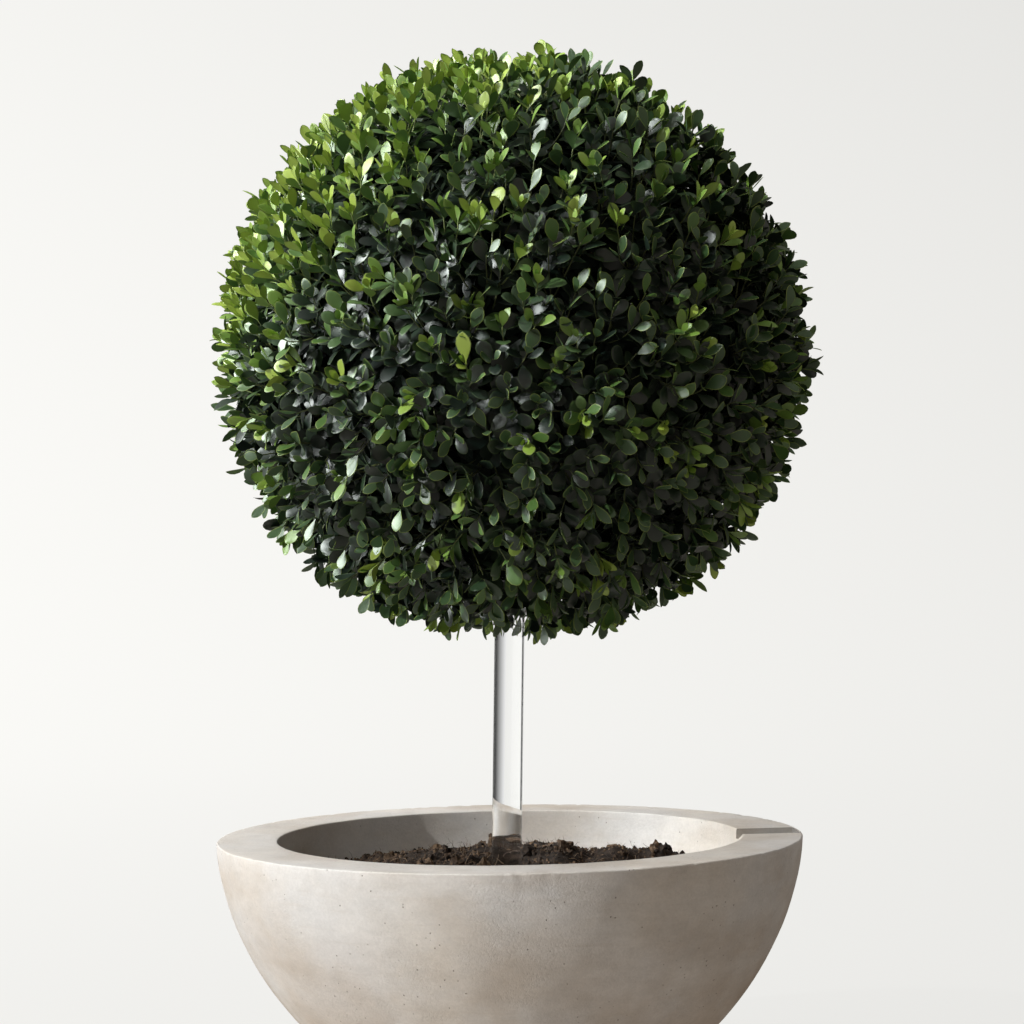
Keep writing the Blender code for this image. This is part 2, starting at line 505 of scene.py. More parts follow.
def bowlProfile():
    top, arris = bowl["height"], bowl["arris"]
    floorDepth = top - bowl["floorThickness"]
    shares = [sin(s) for s in stepsBetween(0, pi / 2, bowl["innerSteps"])]
    buried = [blendBetween(bowl["soilEdge"], floorDepth, s) for s in reversed(shares)]
    bare = stepsBetween(bowl["soilEdge"], arris, 6)[1:]
    inner = [(innerRadius(depth), top - depth) for depth in buried + bare]
    innerArris = quarterTurn(rimInner + arris, top - arris, arris, 180, 90)[1:]
    flat = [(r, top) for r in stepsBetween(rimInner + arris, bowl["rimRadius"] - arris, 6)[1:-1]]
    outerArris = quarterTurn(bowl["rimRadius"] - arris, top - arris, arris, 90, 0)[:-1]
    rounding = bowl["footRounding"]
    shares = [sin(s) for s in stepsBetween(0, pi / 2, bowl["outerSteps"])]
    depths = [blendBetween(arris, top - rounding, s) for s in shares]
    outer = [(wallRadius(d, bowl["rimRadius"], bowl["outerClose"]), top - d) for d in depths]
    footCentre = outer[-1][0] - rounding
    foot = quarterTurn(footCentre, rounding, rounding, 0, -90)[1:]
    return (
        [(0, bowl["floorThickness"]), (inner[0][0] / 2, bowl["floorThickness"])]
        + inner + innerArris + flat + outerArris + outer + foot + [(footCentre / 2, 0), (0, 0)]
    )


def cutterBox(name, size, middle, turn):
    shape = bmesh.new()
    bmesh.ops.create_cube(shape, size=1)
    bmesh.ops.scale(shape, vec=size, verts=shape.verts)
    place = Matrix.Translation(middle) @ turn.to_4x4()
    bmesh.ops.transform(shape, matrix=place, verts=shape.verts)
    return addObject(name, meshOf(name, shape))


def cutAway(obj, *cutters, keeps="DIFFERENCE"):
    for cutter in cutters:
        boolean = obj.modifiers.new("Cut", "BOOLEAN")
        boolean.operation = keeps
        boolean.solver = "EXACT"
        boolean.object = cutter
    settle(obj)
    for cutter in cutters:
        bpy.data.objects.remove(cutter)


def notchCutters():
    depth, length, top = bowl["notchDepth"], bowl["notchLength"], bowl["height"]
    slope = -atan(depth / length)
    ramp = Euler((slope, 0, bowl["notchTurn"])).to_matrix()
    foot = Vector((bowl["rimRadius"] - bowl["rimWidth"] / 2, bowl["notchBack"], top - depth))
    height = depth * 6  # well past the rim's top
    middle = foot + ramp @ Vector((0, -length, height / 2))
    notch = cutterBox("notch", (bowl["rimWidth"] * 2, length * 2, height), middle, ramp)
    inside = bowl["rimRadius"] - bowl["notchLip"]
    core = [(0, top * 2), (inside, top * 2), (inside, 0.1), (0, 0.1)]
    cutAway(notch, settle(turned("core", core, bowl["turnSteps"])), keeps="INTERSECT")
    # the chamfer follows the rim's inner edge at the middle of the notch
    around = asin((bowl["notchBack"] - length / 2) / rimInner)
    edge = Vector((rimInner * cos(around), rimInner * sin(around), top - depth / 2))
    side = bowl["notchChamfer"] * sqrt(2)
    diagonal = Euler((slope, 0, around)).to_matrix() @ Matrix.Rotation(radians(45), 3, "Y")
    chamfer = cutterBox("chamfer", (side, length - bowl["notchChamfer"], side), edge, diagonal)
    return notch, chamfer


def pitCutter(surface):
    # small round lumps strewn over the casting; what they take away are its air holes
    sheet, given = geometryTree("Air holes", {
        "Holes per area": ("Float", bowl["pitsPerArea"]),
        "Smallest": ("Float", bowl["smallestPit"]),
        "Largest": ("Float", bowl["largestPit"]),
        "Seed": ("Int", bowl["pitSeed"]),
    })
    scale, *thick = bowl["pitBunches"]
    bunches = sheet.chain("ShaderNodeTexNoise", {"Scale": scale, "Detail": 2}, "Fac")
    points = sheet.chain("GeometryNodeDistributePointsOnFaces", {
        "Mesh": given["Geometry"], "Density Max": given["Holes per area"],
        "Distance Min": bowl["pitSpacing"], "Density Factor": sheet.ranged(bunches, *thick),
        "Seed": given["Seed"],
    }, distribute_method="POISSON")
    size = sheet.lot("FLOAT", given["Smallest"], given["Largest"], given["Seed"])
    ball = sheet.chain("GeometryNodeMeshIcoSphere", {"Radius": 1.0, "Subdivisions": 2})
    inputs = {"Points": points, "Instance": ball, "Scale": size}
    strewn = sheet.chain("GeometryNodeInstanceOnPoints", inputs)
    finishTree(sheet, strewn, [surface.data.materials[0]])
    return useTree(addObject("pits", surface.data.copy()), sheet)


# paintedShade darkens every colour of the finish; below 1 it is painted shade
def concreteFinish(name, paintedShade):
    made, sheet, shader = newFinish(name)
    place = sheet.place()
    ranged, mixed = sheet.ranged, sheet.mixed

    def patches(scale, detail, roughness, stretch=(1, 1, 1), shift=(0, 0, 0)):
        inputs = {"Vector": place, "Scale": stretch, "Location": shift}
        return sheet.patches(sheet.chain("ShaderNodeMapping", inputs), scale, detail, roughness)

    def shaded(*colour):
        return (*[channel * paintedShade for channel in linear(*colour)], 1)

    stained = shaded(178, 164, 148)
    clouds = ranged(patches(7, 5, 0.55), 0.35, 0.65)
    colour = mixed(clouds, shaded(210, 203, 194), shaded(206, 204, 202))
    stains = ranged(patches(6.5, 6, 0.55, (1, 1, 1.7), (0.52, 0.11, 0.05)), 0.44, 0.74, 0, 0.85)
    colour = mixed(stains, colour, stained)
    chalk = ranged(patches(5, 6, 0.56, (1, 1, 1.5)), 0.50, 0.72, 0, 0.60)
    colour = mixed(chalk, colour, shaded(228, 225, 222))
    low = ranged(sheet.axis(place, "Z"), 0.03, 0.19, 0.75, 0)
    damp = sheet.maths("MULTIPLY", ranged(patches(8, 5, 0.6), 0.38, 0.60), low)
    colour = mixed(damp, colour, shaded(170, 152, 132))
    lines = ranged(patches(9, 6, 0.7, (1, 1, 16)), 0.55, 0.75, 0, 0.25)
    colour = mixed(lines, colour, stained)
    blotches = ranged(patches(48, 7, 0.72, (1, 1, 1.8)), 0.35, 0.66, 1.04, 0.93)
    colour = mixed(1.0, colour, blotches, "MULTIPLY")
    grain = ranged(patches(380, 3, 0.6), 0.3, 0.7, 0.94, 1.04)
    colour = mixed(1.0, colour, grain, "MULTIPLY")

    # pinholes: the middles of a few cells, more of them in some patches; the bump dents them, and their
    # dark colour is painted shade inside them
    cells = sheet.add("ShaderNodeTexVoronoi")
    sheet.feed(cells, "Vector", place)
    sheet.feed(cells, "Scale", 240)
    chosen = sheet.chain("ShaderNodeSeparateColor", {"Color": cells.outputs["Color"]})
    few = sheet.maths("GREATER_THAN", chosen, 0.86)
    few = sheet.maths("MULTIPLY", few, ranged(patches(18, 3, 0.6), 0.46, 0.56))
    reach = ranged(cells.outputs["Distance"], 0.08, 0.22, 1.0, 0.0)
    holes = sheet.maths("MULTIPLY", few, reach)
    # painted shade: the pinholes are coloured dark, as if shaded inside
    colour = mixed(sheet.maths("MULTIPLY", holes, 0.8), colour, shaded(112, 100, 90))
    sheet.feed(shader, "Base Color", colour)
    sheet.feed(shader, "Roughness", ranged(patches(30, 4, 0.6), 0.3, 0.7, 0.62, 0.90))

    pocks = ranged(patches(430, 4, 0.70), 0.36, 0.54)
    pocked = ranged(patches(11, 3, 0.6), 0.42, 0.60, 0.10, 0.46)
    fine = sheet.chain("ShaderNodeBump", {"Height": pocks, "Strength": pocked, "Distance": 0.0006})
    inputs = {"Height": holes, "Strength": 0.8, "Distance": 0.0008, "Normal": fine}
    dents = sheet.chain("ShaderNodeBump", inputs, invert=True)
    sheet.feed(shader, "Normal", dents)
    sheet.feed(shader, "Specular IOR Level", 0.35)
    return made


def unevenCasting(place):
    # where a point of the turned shape goes: the arris chipped, the wall wavering, the rim climbing
    size, top, waver = place / bowl["chipSize"], bowl["height"], bowl["waver"]
    toArris = Vector((place.xy.length - bowl["rimRadius"], place.z - top)).length
    chip = noise.noise(size) + 0.6 * noise.noise(size * 2.7) - bowl["chipLeast"]
    if toArris < bowl["arris"] * 1.5 and chip > 0:
        inward = Vector((-place.x, -place.y, -bowl["rimRadius"] * 0.8)).normalized()
        place += inward * bowl["chip"] * min(1, chip * 3)
    if place.z > bowl["footRounding"]:
        size = place / bowl["waverSize"]
        place += Vector((place.x, place.y, 0)).normalized() * waver * noise.noise(size)
        place.z += waver * 0.6 * noise.noise(place / bowl["waverSize"] + up * 7)
    place.z += rimRise(place.x, place.z)


def makeBowl():
    made = turned("concrete_bowl", bowlProfile(), bowl["turnSteps"], concreteFinish("castConcrete", 1))
    made.data.materials.append(concreteFinish("notchPaintedShadeConcrete", bowl["notchPaintedShade"]))
    made.data.materials.append(concreteFinish("lipPaintedShadeConcrete", bowl["lipPaintedShade"]))
    settle(made)
    cutAway(made, *notchCutters())
    cutAway(made, pitCutter(made))
    for vertex in made.data.vertices:
        unevenCasting(vertex.co)
    # painted shade: the notch's back wall and the inside of its lip take the darker finishes
    near = bowl["notchMargin"]
    for face in made.data.polygons:
        x, y, z = face.center
        inNotch = x > rimInner - near and abs(y) < bowl["notchBack"] + near and z > bowl["height"] - near
        backWall = face.normal.y < -0.8
        lip = face.normal.x < -0.8 and x > bowl["rimRadius"] - near
        face.material_index = 2 if inNotch and lip else 1 if inNotch and backWall else 0
    smoothWithEdges(made, 32)
    bestowed(made, "bowl", slot="concrete")
    print("bowl cast:", len(made.data.polygons), "faces")


makeBowl()


# Rod

rod = {
    "radius": 0.015,
    "lean": radians(0.7),
    "footX": -0.0050,
    "bottom": 0.0606,
    "top": 0.7685,
    "sides": 128,
    "bevel": 0.0006,
    "tint": (0.985, 0.992, 0.990),
    "bend": 1.49,  # index of refraction of acrylic
}


def rodPoint(height):
    return Vector((rod["footX"] + tan(rod["lean"]) * (height - bowl["floorThickness"]), 0, height))


def alongRod(obj):
    # stands a piece made round its own Z axis on the rod's axis, and leaves its place in its mesh
    lean = Matrix.Rotation(rod["lean"], 4, "Y")
    obj.data.transform(Matrix.Translation(rodPoint(0)) @ lean)


def makeRod():
    clear = plainFinish("clearAcrylic", rod["tint"], 0.0, Transmission_Weight=1.0, IOR=rod["bend"])
    radius, bevel = rod["radius"], rod["bevel"]
    bottom, top = rod["bottom"] / cos(rod["lean"]), rod["top"] / cos(rod["lean"])
    profile = [
        (0, top), (radius - bevel, top), (radius - bevel * 0.3, top - bevel * 0.3), (radius, top - bevel),
        (radius, bottom + bevel), (radius - bevel * 0.3, bottom + bevel * 0.3), (radius - bevel, bottom),
        (0, bottom),
    ]
    made = settle(turned("clear_rod", profile, rod["sides"], clear))
    alongRod(made)
    smoothWithEdges(made, 12)
    made.visible_shadow = False  # clear acrylic hardly dims the lamp
    bestowed(made, "stem_rod", slot="clear_rod")


makeRod()
print("rod stood")


# Soil

soil = {
    "heap": 0.028,
    "heapPower": 1.3,
    "clod": 0.004,
    "clodSize": 0.045,
    "lump": 0.0095,
    "lumpSize": 0.026,
    "crumb": 0.0030,
    "crumbSize": 0.0075,
    "rings": 62,
    "steps": 260,
    "skirt": 0.020,
    "mounds": (  # x, y, rise, width
        (-0.080, 0.030, 0.006, 0.028), (-0.027, 0.020, 0.004, 0.022), (0.038, 0.030, 0.008, 0.032),
        (0.062, 0.020, 0.006, 0.020), (0.112, 0.030, 0.009, 0.025), (0.142, 0.030, 0.010, 0.022),
        (0.172, 0.030, 0.010, 0.036), (-0.007, 0.026, 0.019, 0.015), (0.050, -0.050, 0.006, 0.035),
        (-0.110, -0.040, 0.006, 0.030), (-0.003, -0.036, -0.032, 0.036), (-0.042, 0.020, -0.006, 0.035),
    ),
    "crumbsPerArea": 38000,
    "crumbSizes": (0.0012, 0.0052),
    "crumbStretch": ((0.8, 1.2), (0.75, 1.1), (0.6, 0.9)),
    "clodsPerArea": 1700,
    "clodSizes": (0.006, 0.017),
    "mostlySmall": 2.2,  # 1 is as many large as small
    "steepest": 0.3,  # crumbs lie only where the ground faces up by more than this
    "fibres": 1100,
    "fibreReach": 0.93,  # of the bowl's mouth
    "fibreLengths": (0.005, 0.018),
    "fibreThick": (0.00030, 0.00013),  # at the root and at the end
    "fibreRise": (0.1, 1.4),
    "fibreBend": 0.35,
    "fibreDroop": 0.12,
    "seed": 11,
}


def soilHeight(x, y):
    radius = sqrt(x * x + y * y)
    heap = soil["heap"] * (1 - min(1, radius / rimInner) ** soil["heapPower"])
    height = bowl["height"] - bowl["soilEdge"] + heap
    place = Vector((x, y, 0))
    height += soil["clod"] * noise.noise(place / soil["clodSize"])
    for moundX, moundY, rise, width in soil["mounds"]:
        away = (Vector((moundX, moundY, 0)) - place).length / width
        height += rise * max(0, 1 - away * away)
    lumps = noise.voronoi(place / soil["lumpSize"])[0][0]
    crumbs = noise.voronoi(place / soil["crumbSize"])[0][0]
    height += soil["lump"] * (0.5 - lumps) + soil["crumb"] * (0.5 - crumbs)
    return height + rimRise(x, bowl["height"])


def crumbFinish(name, dark, pale):
    made, sheet, shader, _ = mottledFinish(name, dark, pale, 260, 5, 0.95)
    sheet.feed(shader, "Specular IOR Level", 0.2)
    grain = sheet.patches(sheet.place(), 700, 4)
    bump = sheet.chain("ShaderNodeBump", {"Height": grain, "Strength": 0.5, "Distance": 0.001})
    sheet.feed(shader, "Normal", bump)
    return made


def makeSoilBed(finish):
    rings, steps = soil["rings"], soil["steps"]
    inner, outer = rod["radius"] + gap, innerRadius(bowl["soilEdge"]) - gap - 0.0006
    hole = rodPoint(bowl["height"]).x
    lowest = bowl["height"] - bowl["soilEdge"] - soil["skirt"]
    low = innerRadius(bowl["height"] - lowest) - gap - 0.001
    points = []

    def addRing(middle, radius, heightAt):
        for step in range(steps):
            turn = 2 * pi * step / steps
            x, y = middle + radius * cos(turn), radius * sin(turn)
            points.append((x, y, heightAt(x, y)))

    for share in stepsBetween(0, 1, rings):
        addRing(hole * (1 - share), blendBetween(inner, outer, share), soilHeight)
    addRing(0, low, lambda x, y: lowest + rimRise(x, lowest))
    addRing(hole, inner, lambda x, y: lowest)
    loops = [range(start, start + steps) for start in range(0, len(points), steps)]
    faces = []
    for first, last in zip(loops, loops[1:] + loops[:1]):
        for i in range(steps):
            j = (i + 1) % steps
            faces.append((first[i], last[i], last[j], first[j]))
    bed = addObject("soil_bed", meshFrom("soil_bed", points, faces), finish)
    smoothWithEdges(bed, 60)
    return bed


def crumbShapes(rng, count, faces, roughness):
    meshes = []
    for number in range(count):
        shape = bmesh.new()
        bmesh.ops.create_icosphere(shape, subdivisions=faces, radius=0.5)
        stretch = Vector([rng.uniform(*span) for span in soil["crumbStretch"]])
        shift = Vector((number * 3.1, number * 1.7, 0))
        for vertex in shape.verts:
            lump = 1 + roughness * noise.noise(vertex.co * 3.4 + shift)
            vertex.co = vertex.co * stretch * lump
        meshes.append(meshOf("crumb", shape))
    return meshes


def strewCrumbs(name, ground, perArea, smallest, largest, shapes, finishes, seed):
    group = sourceShapes(name + "Shape", shapes)
    sheet, given = geometryTree("Strewn crumbs", {
        "Crumb shapes": ("Collection", group),
        "Crumbs per area": ("Float", perArea),
        "Smallest": ("Float", smallest),
        "Largest": ("Float", largest),
        "Seed": ("Int", seed),
    })
    facing = {0: sheet.axis(sheet.chain("GeometryNodeInputNormal", {}), "Z"), 1: soil["steepest"]}
    top = sheet.chain("FunctionNodeCompare", facing, data_type="FLOAT", operation="GREATER_THAN")
    points = sheet.chain("GeometryNodeDistributePointsOnFaces", {
        "Mesh": given["Geometry"], "Selection": top, "Density": given["Crumbs per area"],
        "Seed": given["Seed"],
    })
    uneven = sheet.maths("POWER", sheet.lot("FLOAT", 0.0, 1.0, given["Seed"]), soil["mostlySmall"])
    shapesIn = sheet.chain("GeometryNodeCollectionInfo", {
        "Collection": given["Crumb shapes"], "Separate Children": True, "Reset Children": True,
    })
    strewn = sheet.chain("GeometryNodeInstanceOnPoints", {
        "Points": points, "Instance": shapesIn, "Pick Instance": True,
        "Instance Index": sheet.lot("INT", 0, 99, given["Seed"]),
        "Rotation": sheet.lot("FLOAT_VECTOR", (0, 0, 0), (6.28, 6.28, 6.28), given["Seed"]),
        "Scale": sheet.ranged(uneven, 0, 1, given["Smallest"], given["Largest"]),
    })
    shade = sheet.lot("INT", 0, len(finishes) - 1, given["Seed"])
    kept = sheet.chain("GeometryNodeStoreNamedAttribute", {
        "Geometry": strewn, "Name": "shade", "Value": shade,
    }, data_type="INT", domain="INSTANCE")
    finishTree(sheet, kept, finishes, "shade")
    made = useTree(addObject(name, ground), sheet)
    dropAttributes(made.data, "shade")
    clearSources(group)
    return made


def threadTree(name, sides, finishes):
    # round threads along the mesh's edges, as thick as its "thick" attribute says
    sheet, given = geometryTree(name, {"Sides": ("Int", sides), "Thickness": ("Float", 1.0)})
    curve = sheet.chain("GeometryNodeMeshToCurve", {"Mesh": given["Geometry"]})
    inputs = {"Resolution": given["Sides"], "Radius": given["Thickness"]}
    ring = sheet.chain("GeometryNodeCurvePrimitiveCircle", inputs)
    tube = sheet.chain("GeometryNodeCurveToMesh", {
        "Curve": curve, "Profile Curve": ring, "Scale": sheet.named("thick", "FLOAT"), "Fill Caps": True,
    })
    smooth = sheet.chain("GeometryNodeSetShadeSmooth", {"Geometry": tube})
    finishTree(sheet, smooth, finishes, "shade")
    return sheet


def makeThreads(name, threads, sides, finishes):
    # threads are lists of (place, thickness), each with a shade number
    points, edges, thick, shades = [], [], [], []
    for path, shade in threads:
        start = len(points)
        for place, radius in path:
            points.append(place)
            thick.append(radius)
            shades.append(shade)
        edges += [(start + i, start + i + 1) for i in range(len(path) - 1)]
    mesh = meshFrom(name, points, (), edges)
    keepValues(mesh, "thick", "FLOAT", thick)
    keepValues(mesh, "shade", "INT", shades)
    sheet = threadTree(name.replace("_", " ").capitalize(), sides, finishes)
    made = useTree(addObject(name, mesh), sheet)
    dropAttributes(made.data, "thick", "shade")
    return made


def soilFibres(rng, finishes):
    # fine roots and husk that stand out of the soil at all angles
    threads = []
    for _ in range(soil["fibres"]):
        radius = rimInner * soil["fibreReach"] * sqrt(rng.random())
        turn = rng.uniform(0, 2 * pi)
        x, y = radius * cos(turn), radius * sin(turn)
        place = Vector((x, y, soilHeight(x, y) - 0.001))
        heading = Vector((rng.gauss(0, 1), rng.gauss(0, 1), rng.uniform(*soil["fibreRise"]))).normalized()
        length = rng.uniform(*soil["fibreLengths"])
        path = []
        for thick in stepsBetween(*soil["fibreThick"], 4):
            path.append((place.copy(), thick))
            place += heading * length / 4
            heading = (heading + strayed(rng, soil["fibreBend"]) - up * soil["fibreDroop"]).normalized()
        threads.append((path, rng.randrange(len(finishes))))
    return makeThreads("soil_fibres", threads, 3, finishes)


def joinedMesh(name, *objects):
    shape = bmesh.new()
    for obj in objects:
        shape.from_mesh(obj.data)
    return meshOf(name, shape)


def makeSoil():
    rng = Random(soil["seed"])
    finishes = [
        crumbFinish("darkCrumb", (27, 21, 18), (55, 44, 36)),
        crumbFinish("brownCrumb", (45, 36, 29), (82, 65, 51)),
        crumbFinish("tanCrumb", (66, 53, 42), (116, 95, 75)),
    ]
    bed = makeSoilBed(finishes[0])
    clods = strewCrumbs("soil_clods", bed.data.copy(), soil["clodsPerArea"], *soil["clodSizes"],
                        crumbShapes(rng, 8, 2, 0.9), finishes, soil["seed"] + 1)
    crumbs = strewCrumbs("soil_crumbs", joinedMesh("soilTop", bed, clods), soil["crumbsPerArea"],
                         *soil["crumbSizes"], crumbShapes(rng, 6, 1, 0.6), finishes, soil["seed"])
    fibres = soilFibres(rng, [
        plainFinish("darkFibre", linear(62, 47, 37), 0.8),
        plainFinish("rootFibre", linear(92, 72, 56), 0.8),
        plainFinish("huskFibre", linear(132, 108, 84), 0.8),
    ])
    for piece in (bed, crumbs, clods, fibres):
        bestowed(piece, "soil", slot="soil")
    print("soil filled:", len(crumbs.data.polygons), "crumb faces,", len(clods.data.polygons), "clod faces")


makeSoil()


# Crown: boughs grow from a woody hub on the rod's top, each fork nearest to the one before it

crown = {
    "middle": 0.7285,
    "seed": 20,
    "forks": {  # how many, how far from the middle, radius where they start and end, steps along each
        "boughs": (15, 0.080, (0.0080, 0.0050), 7),
        "limbs": (110, 0.168, (0.0046, 0.0026), 7),
        "branches": (640, 0.232, (0.0022, 0.0013), 6),
        "sprays": (1750, None, (0.00115, 0.00062), 7),  # they reach for the crown's skin
    },
    "unevenSpread": 0.70,  # how far each growing point strays from an even spread
    "startAbove": 0.006,  # boughs start this far above the rod's top,
    "startOut": 0.012,  # this far out from there,
    "startLift": 0.4,  # and turned up this much
    "forkStray": 0.25,
    "joinBack": 0.05,  # a spray joins the branch that is nearest to a place this far back
    "tipBelow": 0.0206,  # from the crown's skin to a spray's growing tip
    "tipStray": 0.0050,
    "tipLeast": 0.003,
    "lift": 0.85,  # how far sprays of the upper part turn up
    "liftFrom": -0.40,  # height, as a share of the radius, where they start to
    "liftFull": 0.15,
    "drop": 0.15,
    "toss": 0.20,  # how far any spray leans away at random
    "paintedLightSide": (-0.70, 0.0, 0.72),  # painted light: sprays facing this side, where the lamps shine, get brighter greens and more young leaves
    "paintedLightReach": 1.45,  # more brings it further round the crown
    "paintedLightPower": 0.12,  # under 1 is more bright leaves than even, as painted light
    "paintedShadePower": 2.9,
    "rodClear": 0.020,
    "hubRadius": 0.025,
    "budVigour": 0.55,  # a weaker spray has no bud at its tip
    "brightSecond": 0.72,  # a stronger one has a second pair of young leaves
    "brighterSecond": 0.93,
    "lostPair": 0.25,  # how many sprays have shed their oldest pair
    "lostLeaf": 0.04,
    "spacings": (0.85, 1.2),  # of the pairs along a spray
    "turnStray": 0.15,  # how far a pair is from square to the one before
    "spreadStray": 7,  # degrees
    "faceStray": 0.22,
    "sizeStray": 0.11,
    "leafWidths": (0.90, 1.10),
    "skyward": 0.25,  # how much of the light comes from above
    "flutter": 0.12,
    "innerPairs": (0.0, 0.010, 0.021, 0.034),  # back from a branch's end
    "innerSpread": 75,
    "innerLength": 0.027,
    "innermostPair": 0.052,  # back from a spray's tip
    "innermostLength": 0.026,
    "mostTriangles": 185000,  # in one piece of leaves
}

# along a spray, from its tip: distance back, spread from the stem in degrees, leaf length, kind
sprayPairs = (
    (0.0000, 13, 0.0140, "bud"),
    (0.0028, 33, 0.0220, "young"),
    (0.0105, 47, 0.0225, "grown"),
    (0.0200, 56, 0.0230, "grown"),
    (0.0300, 66, 0.0240, "old"),
    (0.0410, 78, 0.0240, "old"),
)

# leaf outlines: (distance along, half width), both as shares of the leaf's length
leafOutlines = {
    "young": ((0.10, 0.020), (0.27, 0.120), (0.46, 0.215), (0.65, 0.256), (0.82, 0.210), (0.940, 0.105)),
    "grown": ((0.09, 0.022), (0.26, 0.130), (0.45, 0.240), (0.65, 0.290), (0.83, 0.245), (0.950, 0.130)),
    "old": ((0.08, 0.022), (0.30, 0.175), (0.56, 0.295), (0.81, 0.255), (0.950, 0.130)),
    "inner": ((0.10, 0.030), (0.55, 0.320), (0.88, 0.230)),
}

# leaf shapes: (width, fold, arch, tip) for each variant
leafForms = {
    "young": ((0.88, 18, 0.14, 0.99), (0.98, 12, 0.08, 0.98), (0.80, 22, 0.18, 1.0),
              (1.04, 10, -0.06, 0.975), (0.92, 16, -0.16, 0.985)),
    "grown": ((0.98, 11, -0.14, 0.985), (1.08, 8, -0.07, 0.975), (0.88, 16, -0.22, 0.99),
              (1.02, 9, 0.08, 0.975), (0.94, 14, -0.18, 0.98)),
    "old": ((1.0, 8, -0.12, 0.98), (1.12, 6, -0.05, 0.97), (0.92, 12, -0.18, 0.985),
            (1.06, 8, 0.03, 0.975)),
    "inner": ((1.0, 8, -0.10, 0.98), (1.1, 4, -0.02, 0.97), (0.9, 12, -0.16, 0.99)),
}

# each kind's greens run bright to dull; which one a spray takes follows its vigour, so it is partly painted
# light
leafColours = {
    "young": ((162, 186, 76), (141, 172, 66), (113, 148, 59), (79, 114, 50), (60, 88, 50)),
    "grown": ((100, 130, 74), (76, 106, 60), (46, 68, 43), (31, 49, 34), (25, 41, 30)),
    "old": ((56, 78, 52), (38, 57, 40), (25, 39, 31), (21, 34, 28)),
    "inner": ((42, 54, 45), (34, 46, 38)),
}
# leaf margins: partly a paler rim of the leaf's own, partly painted highlight where the edge catches the
# light
marginAndEdgeLightColours = {"young": (132, 152, 76), "grown": (70, 90, 54)}
marginWidth = 0.022  # of the leaf's length
leafGloss = {"young": (0.44, 0.9), "grown": (0.40, 1.0), "old": (0.42, 1.0), "inner": (0.70, 0.15)}
youngShares = (0.12, 0.28, 0.48, 0.72)  # of all sprays: how many have each of the brighter greens
leafLean = {"young": 0.05, "grown": 0.16, "old": 0.40, "inner": 0.3}  # towards the light
leafTriangles = {"young": 45, "grown": 45, "old": 19, "inner": 11}
leafValues = {"turn": "FLOAT_VECTOR", "size": "FLOAT_VECTOR", "form": "INT", "shade": "INT"}


def leafMesh(name, outline, width, fold, arch, tip, margin):
    # one leaf a unit long, growing from the origin along +Y, its upper face towards +Z
    lift = tan(radians(fold))
    rolled = margin * 0.35  # how far the margin turns down
    stalkEnd, stalk = outline[0]

    def bowed(along):
        return arch * max(0, along - 0.1) ** 2

    points = [(-stalk, 0, 0), (stalk, 0, 0), (-stalk, stalkEnd, 0), (stalk, stalkEnd, 0)]
    rows = []
    for along, half in outline[1:]:
        rows.append([len(points) + i for i in range(5)])
        middle, half = bowed(along), half * width
        blade = half - margin
        side = middle + blade * lift
        points += [(-blade, along, side), (0, along + 0.012, middle), (blade, along, side)]
        if margin:
            points += [(-half, along, side - rolled), (half, along, side - rolled)]
    left, centre, right, leftRim, rightRim = rows[0]
    blades = [(0, 1, 3, 2), (2, 3, centre), (2, centre, left), (3, right, centre)]
    rims = [(2, left, leftRim), (3, rightRim, right)]
    for under, over in zip(rows, rows[1:]):
        blades += [(under[0], under[1], over[1], over[0]), (under[1], under[2], over[2], over[1])]
        rims += [(under[3], under[0], over[0], over[3]), (under[2], under[4], over[4], over[2])]
    end = len(points)
    left, centre, right, leftRim, rightRim = rows[-1]
    points.append((0, tip + 0.01 - margin, bowed(1)))
    blades += [(left, centre, end), (centre, right, end)]
    rims += [(leftRim, left, end, end + 1), (right, rightRim, end + 1, end)]
    if margin:
        points.append((0, tip + 0.01, bowed(1) - rolled))
    else:
        rims = []
    mesh = meshFrom(name, points, blades + rims)
    mesh.shade_smooth()
    marks = mesh.attributes.new("edging", "BOOLEAN", "FACE")
    marks.data.foreach_set("value", [False] * len(blades) + [True] * len(rims))
    return mesh


def skinReach():
    # how far the CAD crown's skin is from its middle, along any direction
    node = frame["nodes"]["crown"].data
    node.calc_loop_triangles()
    skin = BVHTree.FromPolygons(
        [v.co.copy() for v in node.vertices], [tuple(t.vertices) for t in node.loop_triangles]
    )
    middle = rodPoint(crown["middle"])

    def reach(way):
        hit = skin.ray_cast(middle + way * 0.5, -way)[0]
        return (hit - middle).length if hit else 0.3

    return reach


def evenWays(count, stray, rng):
    golden = pi * (3 - sqrt(5))
    for i in range(count):
        z = 1 - 2 * (i + 0.5) / count
        across = sqrt(1 - z * z)
        way = Vector((across * cos(golden * i), across * sin(golden * i), z))
        nudge = strayed(rng, 1) * stray * sqrt(4 * pi / count) / 2
        yield (way + nudge).normalized()


def eased(start, leaving, end, arriving, steps):
    # points on a smooth path between two places with given headings
    length = (end - start).length
    out, back = leaving * length, arriving * length
    path = []
    for t in stepsBetween(0, 1, steps):
        path.append(
            start * (2 * t**3 - 3 * t**2 + 1) + out * (t**3 - 2 * t**2 + t)
            + end * (3 * t**2 - 2 * t**3) + back * (t**3 - t**2)
        )
    return path


def clearOfRod(place):
    # pushes a place sideways out of the rod's way
    axis = rodPoint(place.z)
    side = Vector((place.x - axis.x, place.y - axis.y, 0))
    if place.z > rod["top"] or side.length > crown["rodClear"]:
        return place
    side = side.normalized() if side.length > 0.0001 else Vector((1, 0, 0))
    return axis + side * crown["rodClear"]


def nearestOf(grown):
    tree = KDTree(len(grown))
    for number, item in enumerate(grown):
        tree.insert(item["place"], number)
    tree.balance()
    return lambda place: grown[tree.find(place)[1]]


def growth(place, heading, path, thickness, way, **more):
    thick = stepsBetween(*thickness, len(path) - 1)
    return {"place": place, "heading": heading, "path": list(zip(path, thick)), "way": way, **more}


